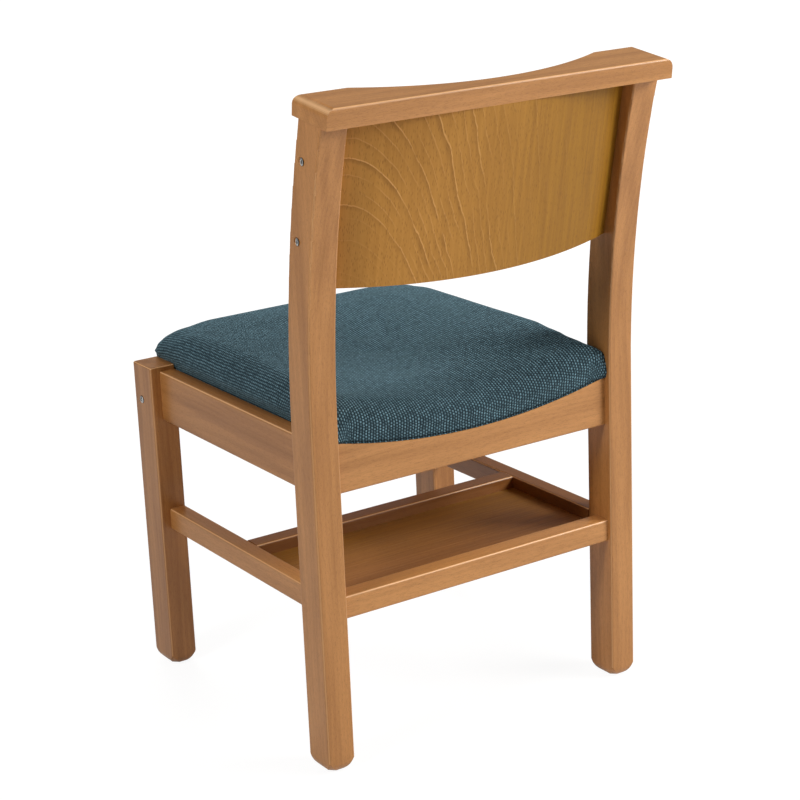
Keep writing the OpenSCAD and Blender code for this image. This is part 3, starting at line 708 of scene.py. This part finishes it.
# %% Cloth
def ribbed_cloth(name, rib_mm, bead_mm, pale, deep, gap_colour):
    r = Recipe(name)
    cloth = r.attribute("cloth")
    drift = r.noise(r.stretched(cloth, 70, 70, 0), 2)
    u, v, above_rim = r.split(cloth)
    rib = u * (1000 / rib_mm) + (drift - 0.5) * 0.7
    bead = v * (1000 / bead_mm) + (drift - 0.5) * 0.7 + rib.floor() * 0.5
    between_ribs = (rib.fract() - 0.5).abs() * 2
    between_beads = (bead.fract() - 0.5).abs() * 2
    crown = between_ribs.ramp(0.15, 0.8, 1, 0) * between_beads.ramp(0.2, 0.9, 1, 0.05)
    pick = r.noise(r.vector(rib.floor() * 0.77, bead.floor() * 0.77, 0.0), 0)
    dashes = r.noise(r.vector(rib.floor() * 5.3, bead * 0.45, 0.0), 1)
    fluff = r.noise(r.stretched(cloth, 1500, 1500, 0), 3)
    cloud = r.noise(r.stretched(cloth, 14, 14, 0), 3)
    shine = pick.ramp(0.3, 0.7) * 0.35 + dashes.ramp(0.35, 0.65) * 0.65 + 0.28
    colour = r.mix(crown * shine, deep, pale)
    colour = r.mix(between_beads.ramp(0.5, 0.9) * between_ribs.ramp(0.4, 0.85), colour, gap_colour)
    colour = r.mix(fluff.ramp(0.35, 0.75) * 0.16, colour, pale)
    colour = r.mix(cloud.ramp(0.35, 0.7) * 0.14, colour, gap_colour)
    # Painted contact shadow: the cloth darkens within a few millimetres of the board's underside.
    colour = r.mix(above_rim.ramp(0.0005, 0.0035, 0.8, 0), colour, gap_colour)
    height = crown + fluff * 0.25
    material = r.finish(base_color=colour, roughness=0.86 + fluff * 0.1,
                        normal=r.bump(height, 1.0, 0.0011))
    r.shader.inputs["Specular IOR Level"].default_value = 0.25
    r.shader.inputs["Sheen Weight"].default_value = 0.4
    r.shader.inputs["Sheen Roughness"].default_value = 0.4
    r.shader.inputs["Sheen Tint"].default_value = paint(150, 190, 205)
    return material


teal_cloth = ribbed_cloth("teal cloth", 4.0, 4.0, paint(124, 161, 176), paint(11, 32, 41), paint(2, 8, 12))

# %% [markdown]
# ## The cushion
# The cushion is foam on a dished board, under a cover that is pulled tight and
# stapled below. Cloth simulation gives its fullness: board, foam and cover are joined into
# one closed body, remeshed, laid on the skin of the cover again, and blown up with a little
# pressure. The lower edge is pinned where the cover turns under, and no point may move
# further than a small limit, so that the seat keeps its measured size.

# %% Inflate the pad
VOXEL_MM = 5.0
SWELL_MM = 1.2
SIM_FRAMES = 20
PRESSURE = 4.0
PINNED_MM = 5
BOARD_INSETS_MM = (1, 3, 6, 10)
board_low, board_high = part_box("seat_board")
cover_low, cover_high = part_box("seat_cover")


def surface_of(*nodes):
    """A search tree over the triangles of these solids."""
    points, faces = [], []
    for node in nodes:
        mesh = cad[node].data
        base = len(points)
        points += [v.co.copy() for v in mesh.vertices]
        faces += [[base + i for i in p.vertices] for p in mesh.polygons]
    return BVHTree.FromPolygons(points, faces)


board_tree = surface_of("seat_board")


def board_under(x, y):
    """Height of the seat board's underside here, or at the board's nearest place."""
    for inset in (step * MM for step in BOARD_INSETS_MM):
        place = Vector((max(board_low.x + inset, min(board_high.x - inset, x)),
                        max(board_low.y + inset, min(board_high.y - inset, y)), board_low.z - 0.1))
        hit = board_tree.ray_cast(place, Vector((0, 0, 1)))[0]
        if hit:
            return hit.z
    return board_low.z


def pad_body():
    bm = bmesh.new()
    for node in ("seat_board", "seat_foam", "seat_cover"):
        bm.from_mesh(cad[node].data)
    bmesh.ops.remove_doubles(bm, verts=bm.verts, dist=MERGE_DISTANCE)
    mesh = bpy.data.meshes.new("seat-cushion")
    bm.to_mesh(mesh)
    bm.free()
    obj = new_object("seat-cushion", mesh)
    remesh = obj.modifiers.new("remesh", "REMESH")
    remesh.mode = "VOXEL"
    remesh.voxel_size = VOXEL_MM * MM
    relax = obj.modifiers.new("relax", "SMOOTH")
    relax.factor = 0.5
    relax.iterations = 3
    baked(obj)
    skin = surface_of("seat_cover")
    for v in obj.data.vertices:
        nearest = skin.find_nearest(v.co, 2 * VOXEL_MM * MM)[0]
        if nearest and (nearest - v.co).dot(v.normal) > -0.5 * MM:
            v.co = nearest
    return obj


def inflate(obj):
    start = [v.co.copy() for v in obj.data.vertices]
    pins = obj.vertex_groups.new(name="pins")
    for v in obj.data.vertices:
        if v.co.z < board_under(v.co.x, v.co.y) + PINNED_MM * MM:
            pins.add([v.index], 1.0, "REPLACE")
    cloth = obj.modifiers.new("cloth", "CLOTH")
    settings = cloth.settings
    settings.use_pressure = True
    settings.uniform_pressure_force = PRESSURE
    settings.tension_stiffness = 30
    settings.compression_stiffness = 30
    settings.bending_stiffness = 4
    settings.mass = 0.4
    settings.vertex_group_mass = "pins"
    settings.effector_weights.gravity = 0
    scene = bpy.context.scene
    cloth.point_cache.frame_start, cloth.point_cache.frame_end = 1, SIM_FRAMES
    for step in range(1, SIM_FRAMES + 1):
        scene.frame_set(step)
    blown = obj.evaluated_get(bpy.context.evaluated_depsgraph_get()).to_mesh()
    moved = []
    for v, origin in zip(blown.vertices, start):
        way = v.co - origin
        if way.length > SWELL_MM * MM:
            way *= SWELL_MM * MM / way.length
        moved.append(origin + way)
    obj.modifiers.clear()
    obj.vertex_groups.clear()
    for v, place in zip(obj.data.vertices, moved):
        v.co = place
    scene.frame_set(1)


cushion = pad_body()
print("pad points:", len(cushion.data.vertices))
inflate(cushion)
smooth = cushion.modifiers.new("subdivision", "SUBSURF")
smooth.levels = smooth.render_levels = 1
baked(cushion)

# %% [markdown]
# The underside of the blown-up pad is only the way to a closed body. The real cover
# stops at the board's lower edge, so those points are drawn up into the board, which then shows
# from below. Last, the cloth attribute: on the top it is simply x and y. Past the shoulder
# it goes on by the length of the arc, so the yarns stay equally wide on the sides. Its third
# number is the height over the board's underside, which darkens the cloth along its lower edge as a painted
# contact shadow.
# Before that, the corners are drawn to the outline that the photograph shows, by values
# that were found by comparing outlines.

# %% Fit the cover and lay the cloth
SHOULDER_MM = 32.0
TUCK_INSIDE_MM, TUCK_BELOW_MM, TUCK_TO_MM = 6, 4, 6
CORNER_PULL_MM = 90
FRONT_DROP_MM = 11
CORNER_FILL_MM = 120
REAR_LIFT_MM = 6.5
SQUARE_CORNER_MM = 22
REAR_SQUARE = 0.9
FRONT_SQUARE = 0.25
RIM_MM = 3
RIM_DROP_MM = 1.2


def tuck_underside(obj):
    inside = TUCK_INSIDE_MM * MM
    for v in obj.data.vertices:
        x, y = v.co.x, v.co.y
        if not (board_low.x + inside < x < board_high.x - inside
                and board_low.y + inside < y < board_high.y - inside):
            continue
        under = board_under(x, y)
        if v.co.z < under + TUCK_BELOW_MM * MM:
            v.co.z = under + TUCK_TO_MM * MM


def lay_cloth(obj):
    mesh = obj.data
    tree = BVHTree.FromPolygons([v.co.copy() for v in mesh.vertices],
                                [list(p.vertices) for p in mesh.polygons])
    shoulder = SHOULDER_MM * MM
    low, high = cover_low, cover_high
    values = []
    for v in mesh.vertices:
        inner = Vector((max(low.x + shoulder, min(high.x - shoulder, v.co.x)),
                        max(low.y + shoulder, min(high.y - shoulder, v.co.y))))
        out = Vector((v.co.x, v.co.y)) - inner
        reach = out.length
        if reach < 1e-6:
            values.append((v.co.x, v.co.y, shoulder))
            continue
        top = tree.ray_cast(Vector((inner.x, inner.y, high.z + 0.1)), Vector((0, 0, -1)))[0]
        drop = (top.z if top else high.z) - v.co.z
        if drop < shoulder:
            arc = math.atan2(reach, shoulder - drop) * shoulder
        else:
            arc = math.pi / 2 * shoulder + drop - shoulder
        way = out / reach
        height_over_board = v.co.z - board_under(v.co.x, v.co.y)
        values.append((inner.x + way.x * arc, inner.y + way.y * arc, height_over_board))
    write_attribute(mesh, "cloth", "FLOAT_VECTOR", "POINT", values)


def eased(share):
    """A share from 0 to 1, made to start and end gently."""
    share = min(1.0, max(0.0, share))
    return share * share * (3 - 2 * share)


def settle(obj):
    """Pulls the front corners down, fills the rear ones, squares all four and lowers the rim."""
    pull, fill, bend = CORNER_PULL_MM * MM, CORNER_FILL_MM * MM, SQUARE_CORNER_MM * MM
    middle_y = (board_low.y + board_high.y) / 2
    for v in obj.data.vertices:
        x, y = v.co.x, v.co.y
        height = (v.co.z - board_high.z) / (cover_high.z - board_high.z)
        beside, before, behind = abs(x) - cover_high.x, cover_low.y - y, y - cover_high.y
        drop = eased(1 + beside / pull) * eased(1 + before / pull) * FRONT_DROP_MM * MM
        lift = eased(1 + beside / fill) * eased(1 + behind / fill) * REAR_LIFT_MM * MM
        v.co.z += (lift - drop) * eased(height * 2)
        out = Vector((abs(x) - (board_high.x - bend), abs(y - middle_y) - (board_high.y - middle_y - bend)))
        if min(out) > 0:
            share = REAR_SQUARE if y > middle_y else FRONT_SQUARE
            square = out * (out.length / max(out) - 1) * share * max(0, 1 - max(0, height))
            v.co.x += math.copysign(square.x, x)
            v.co.y += math.copysign(square.y, y - middle_y)
        if v.co.z < board_under(x, y) + RIM_MM * MM:
            v.co.z -= RIM_DROP_MM * MM


settle(cushion)
tuck_underside(cushion)
lay_cloth(cushion)
for polygon in cushion.data.polygons:
    polygon.use_smooth = True
cushion.data.materials.clear()
cushion.data.materials.append(teal_cloth)
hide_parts("seat_cover", "seat_foam")
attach(cushion, "root")

# %% [markdown]
# ## Hem and staples
# From below, the cover's edge is turned in over the board and stapled. The hem is a
# thin band that follows the board's underside, with an inner edge that waves a little, as
# cut cloth does. The staples repeat at an even spacing, which is work for Geometry Nodes.

# %% Hem
HEM_MM = 18.0
HEM_THICK_MM = 1.0
CORNER_MM = 10.0
CORNER_STEPS = 6
HEM_STEPS = 5
SIDE_BAND = 0.012


def rim_path(inset, steps):
    """Points round the board's outline, drawn in by inset, with rounded corners."""
    low, high = board_low, board_high
    x0, x1, y0, y1 = low.x + inset, high.x - inset, low.y + inset, high.y - inset
    r = CORNER_MM * MM
    points = []
    for cx, cy, start in ((x1 - r, y1 - r, 0), (x0 + r, y1 - r, 90),
                          (x0 + r, y0 + r, 180), (x1 - r, y0 + r, 270)):
        for i in range(CORNER_STEPS + 1):
            a = math.radians(start + 90 * i / CORNER_STEPS)
            points.append(Vector((cx + r * math.cos(a), cy + r * math.sin(a))))
    full = []
    for p, q in zip(points, points[1:] + points[:1]):
        parts = max(1, round((q - p).length / steps))
        full += [p.lerp(q, i / parts) for i in range(parts)]
    return full


def make_hem():
    outer = rim_path(-1.6 * MM, 6 * MM)
    wave = random.Random(3)
    centre = Vector((0, (board_low.y + board_high.y) / 2))
    rows = []
    phases = [wave.uniform(0, 6.28) for _ in range(3)]
    for i, p in enumerate(outer):
        turn = i / len(outer) * 2 * math.pi
        ragged = 1.4 * math.sin(9 * turn + phases[0]) + 0.8 * math.sin(23 * turn + phases[1])
        beside = abs(p.x) > board_high.x - SIDE_BAND
        before = abs(p.y - centre.y) > (board_high.y - board_low.y) / 2 - SIDE_BAND
        inward = Vector((max(-1, min(1, -p.x / 0.18)) if beside else 0,
                         max(-1, min(1, (centre.y - p.y) / 0.2)) if before else 0))
        inward.normalize()
        row = []
        for k in range(HEM_STEPS + 1):
            q = p + inward * ((HEM_MM + ragged) * MM * k / HEM_STEPS)
            ripple = 0.25 * math.sin(41 * turn + phases[2]) * k / HEM_STEPS
            row.append((q.x, q.y, board_under(q.x, q.y) - (0.25 + max(0, ripple)) * MM))
        rows.append(row)
    points = [c for row in rows for c in row]
    n, m = len(rows), HEM_STEPS + 1
    faces = [(i * m + k, i * m + k + 1, (i + 1) % n * m + k + 1, (i + 1) % n * m + k)
             for i in range(n) for k in range(HEM_STEPS)]
    mesh = bpy.data.meshes.new("seat-hem")
    mesh.from_pydata(points, [], faces)
    obj = new_object("seat-hem", mesh)
    thick = obj.modifiers.new("thickness", "SOLIDIFY")
    thick.thickness = (HEM_THICK_MM - 0.2) * MM
    thick.offset = 1
    baked(obj)
    bm = bmesh.new()
    bm.from_mesh(obj.data)
    bmesh.ops.recalc_face_normals(bm, faces=bm.faces)
    bm.to_mesh(obj.data)
    bm.free()
    write_attribute(obj.data, "cloth", "FLOAT_VECTOR", "POINT", [tuple(v.co) for v in obj.data.vertices])
    for polygon in obj.data.polygons:
        polygon.use_smooth = True
    obj.data.materials.append(teal_cloth)
    return obj


hem = make_hem()
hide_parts("seat_hem")
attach(hem, "root")

# %% [markdown]
# ## Repeated fasteners with Geometry Nodes
# A tree that takes points, a small shape and a finish serves every repeated fastener: it sets
# the shape on each point, turned by two attributes of the point, then makes the
# copies real and gives them the finish. The points are read from the solids.

# %% Fastener tree
def fastener_tree():
    tree = bpy.data.node_groups.new("fasteners", "GeometryNodeTree")
    face = tree.interface
    face.new_socket("Points", in_out="INPUT", socket_type="NodeSocketGeometry")
    face.new_socket("Shape", in_out="INPUT", socket_type="NodeSocketObject")
    size = face.new_socket("Size", in_out="INPUT", socket_type="NodeSocketFloat")
    size.default_value = 1.0
    face.new_socket("Finish", in_out="INPUT", socket_type="NodeSocketMaterial")
    face.new_socket("Fasteners", in_out="OUTPUT", socket_type="NodeSocketGeometry")

    def node(kind, **settings):
        made = tree.nodes.new(kind)
        for name, value in settings.items():
            setattr(made, name, value)
        return made

    def link(source, target):
        tree.links.new(source, target)

    inside, outside = node("NodeGroupInput"), node("NodeGroupOutput")
    facing = node("GeometryNodeInputNamedAttribute", data_type="FLOAT_VECTOR")
    facing.inputs["Name"].default_value = "facing"
    rolled = node("GeometryNodeInputNamedAttribute", data_type="FLOAT_VECTOR")
    rolled.inputs["Name"].default_value = "rolled"
    turn = node("FunctionNodeAxesToRotation", primary_axis="Z", secondary_axis="X")
    link(facing.outputs["Attribute"], turn.inputs["Primary Axis"])
    link(rolled.outputs["Attribute"], turn.inputs["Secondary Axis"])
    shape = node("GeometryNodeObjectInfo", transform_space="ORIGINAL")
    link(inside.outputs["Shape"], shape.inputs["Object"])
    copies = node("GeometryNodeInstanceOnPoints")
    link(inside.outputs["Points"], copies.inputs["Points"])
    link(shape.outputs["Geometry"], copies.inputs["Instance"])
    link(turn.outputs["Rotation"], copies.inputs["Rotation"])
    link(inside.outputs["Size"], copies.inputs["Scale"])
    real = node("GeometryNodeRealizeInstances")
    link(copies.outputs["Instances"], real.inputs["Geometry"])
    finish = node("GeometryNodeSetMaterial")
    link(real.outputs["Geometry"], finish.inputs["Geometry"])
    link(inside.outputs["Finish"], finish.inputs["Material"])
    link(finish.outputs["Geometry"], outside.inputs["Fasteners"])
    return tree


FASTENERS = fastener_tree()


def set_out(name, spots, shape, size, finish, slot, *nodes):
    """Copies of a shape on each spot, a (place, facing, rolled) triple, as one plain piece."""
    mesh = bpy.data.meshes.new(name)
    mesh.from_pydata([place for place, _, _ in spots], [], [])
    write_attribute(mesh, "facing", "FLOAT_VECTOR", "POINT", [tuple(f) for _, f, _ in spots])
    write_attribute(mesh, "rolled", "FLOAT_VECTOR", "POINT", [tuple(r) for _, _, r in spots])
    obj = new_object(name, mesh)
    modifier = obj.modifiers.new("fasteners", "NODES")
    modifier.node_group = FASTENERS
    sockets = {s.name: s.identifier for s in FASTENERS.interface.items_tree if s.item_type == "SOCKET"}
    modifier[sockets["Shape"]] = shape
    modifier[sockets["Size"]] = size
    modifier[sockets["Finish"]] = finish
    baked(obj)
    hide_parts(*nodes)
    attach(obj, "root")
    print(name, len(spots), "copies,", len(obj.data.polygons), "faces")
    return obj


# %% [markdown]
# ## Screw heads
# The screws through the posts are countersunk, with a cross recess, and the bolts of the front
# rail have a low dome. Both heads are turned shapes, so one function makes them: a disc of
# rings whose height follows a profile, pressed in where the cross lies. Below the wood's
# surface each head goes on as a cone, so that no gap shows beside it. The recess and the rim
# are dark with painted shade, which a shade attribute tells the steel's recipe. The heads are
# as wide as those of the solids.

# %% Heads from a profile
SCREW_HEAD_MM = 10.0
BOLT_HEAD_MM = 11.0
RECESS_REACH = 0.56
RECESS_SLOPE = 0.55
DARK_RIM = 0.9
SKIRT_RADIUS = 0.55
DOME_POWER = 2.4


def screw_head(name, dome, foot, recess_depth, arm, rings=22, spokes=64):
    """Head of radius 1: dome high in its middle, with a skirt down to -foot."""
    def pressed(x, y):
        """1 in the cross recess and 0 beside it."""
        across, along = sorted((abs(x), abs(y)))
        wall = 1 - min(1, max(0, (across - arm) / 0.05))
        end = 1 - min(1, max(0, (along - RECESS_REACH) / 0.10))
        return wall * end

    points, shade, faces = [(0, 0, dome - recess_depth)], [1.0], []
    for i in range(1, rings + 1):
        radius = i / rings
        for j in range(spokes):
            a = 2 * math.pi * j / spokes
            x, y = radius * math.cos(a), radius * math.sin(a)
            depth = pressed(x, y)
            slope = 1 - RECESS_SLOPE * min(1, radius / RECESS_REACH)
            points.append((x, y, dome * (1 - radius ** DOME_POWER) - recess_depth * depth * slope))
            # Painted shade on the rim and in the cross recess.
            shade.append(1.0 if radius > DARK_RIM else depth)
    for j in range(spokes):
        a = 2 * math.pi * j / spokes
        points.append((SKIRT_RADIUS * math.cos(a), SKIRT_RADIUS * math.sin(a), -foot))
    points.append((0, 0, -foot))
    shade += [1.0] * (spokes + 1)
    for j in range(spokes):
        k = (j + 1) % spokes
        faces.append((0, 1 + j, 1 + k))
        for i in range(rings):
            a, b = 1 + i * spokes, 1 + (i + 1) * spokes
            faces.append((a + j, b + j, b + k, a + k))
        faces.append((1 + rings * spokes + j, len(points) - 1, 1 + rings * spokes + k))
    mesh = bpy.data.meshes.new(name)
    mesh.from_pydata(points, [], faces)
    write_attribute(mesh, "shade", "FLOAT", "POINT", shade)
    mesh.materials.append(steel)
    return bpy.data.objects.new(name, mesh)


def loose_parts(node):
    """The separate solids of a node, each as a list of points."""
    bm = bmesh.new()
    bm.from_mesh(cad[node].data)
    bmesh.ops.remove_doubles(bm, verts=bm.verts, dist=MERGE_DISTANCE)
    left, parts = set(bm.verts), []
    while left:
        part, todo = [], [left.pop()]
        while todo:
            v = todo.pop()
            part.append(v.co.copy())
            for e in v.link_edges:
                w = e.other_vert(v)
                if w in left:
                    left.remove(w)
                    todo.append(w)
        parts.append(part)
    bm.free()
    return parts


def head_spots(node, roll):
    """Place and direction of each fastener's head, which is its end furthest from the middle.

    On a slanted screw only the outer side of the rim counts, so that its head comes out a
    little to the rear of the solid's.
    """
    spots = []
    for part in loose_parts(node):
        part.sort(key=lambda p: abs(p.x))
        tip = sum(part[:20], Vector()) / 20
        reach = abs(part[-1].x)
        rim = [p for p in part if abs(p.x) > reach - 1.4 * MM]
        head = sum(rim, Vector()) / len(rim)
        way = (head - tip).normalized()
        angle = roll.uniform(0.1, 1.4)
        side = Matrix.Rotation(angle, 3, way) @ Vector((0, 0, 1))
        spots.append((head, way, side))
    return spots


roll = random.Random(5)
flat_head = screw_head("flat head", 0.12, 0.40, 0.40, 0.14)
dome_head = screw_head("dome head", 0.42, 0.02, 0.46, 0.09)
set_out("panel-screw-heads", head_spots("panel_screws", roll), flat_head, SCREW_HEAD_MM / 2 * MM, steel,
        "steel", "panel_screws")
set_out("rail-bolt-heads", [(Vector((math.copysign(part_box("front_leg_left")[1].x, p.x), p.y, p.z)), w, s)
                            for p, w, s in head_spots("rail_bolts", roll)],
        dome_head, BOLT_HEAD_MM / 2 * MM, steel, "steel", "rail_bolts")


# %% [markdown]
# A staple is a bent flat wire: a crown with rounded shoulders and two legs that sink into the
# board. Only a few dozen faces are needed, because the shape is set out many times.

# %% Staples
def staple_shape(width, wire):
    """Staple of this width lying on z = 0, its legs pointing up."""
    profile = [(-width / 2, wire * 3), (-width / 2, wire * 0.6), (-width / 2 + wire * 0.6, 0),
               (width / 2 - wire * 0.6, 0), (width / 2, wire * 0.6), (width / 2, wire * 3)]
    inner = [(max(-width / 2 + wire, min(width / 2 - wire, x)), max(z, wire) if z < wire * 2 else z)
             for x, z in profile]
    points = [(x, s * wire * 0.7, z) for s in (-1, 1) for x, z in profile + inner]
    n = len(profile)
    faces = []
    for i in range(n - 1):
        a, b, c, d = i, i + 1, n + i + 1, n + i
        faces += [(a, b, c, d), (2 * n + d, 2 * n + c, 2 * n + b, 2 * n + a),
                  (b, a, 2 * n + a, 2 * n + b), (d, c, 2 * n + c, 2 * n + d)]
    faces += [(0, n, 3 * n, 2 * n), (n - 1, 3 * n - 1, 4 * n - 1, 2 * n - 1)]
    mesh = bpy.data.meshes.new("staple")
    mesh.from_pydata(points, [], faces)
    bm = bmesh.new()
    bm.from_mesh(mesh)
    bmesh.ops.recalc_face_normals(bm, faces=bm.faces)
    bm.to_mesh(mesh)
    bm.free()
    mesh.materials.append(steel)
    return bpy.data.objects.new("staple", mesh)


STAPLE_MM = 12.0
staple_spots = []
for part in loose_parts("hem_staples"):
    middle = sum(part, Vector()) / len(part)
    under = board_under(middle.x, middle.y)
    lean = roll.uniform(-0.12, 0.12)
    staple_spots.append((Vector((middle.x, middle.y, under - 2.0 * MM)), Vector((0, 0, 1)),
                         Vector((math.sin(lean), math.cos(lean), 0))))
set_out("hem-staples", staple_spots, staple_shape(1.0, 0.06), STAPLE_MM * MM, steel, "steel", "hem_staples")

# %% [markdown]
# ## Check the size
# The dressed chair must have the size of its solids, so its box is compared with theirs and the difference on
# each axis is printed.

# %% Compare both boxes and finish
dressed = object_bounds()
grown = (dressed[1] - dressed[0]) - (cad_box[1] - cad_box[0])
for i, axis in enumerate("xyz"):
    print(axis, "differs by", round(grown[i] * 1000, 2), "mm")
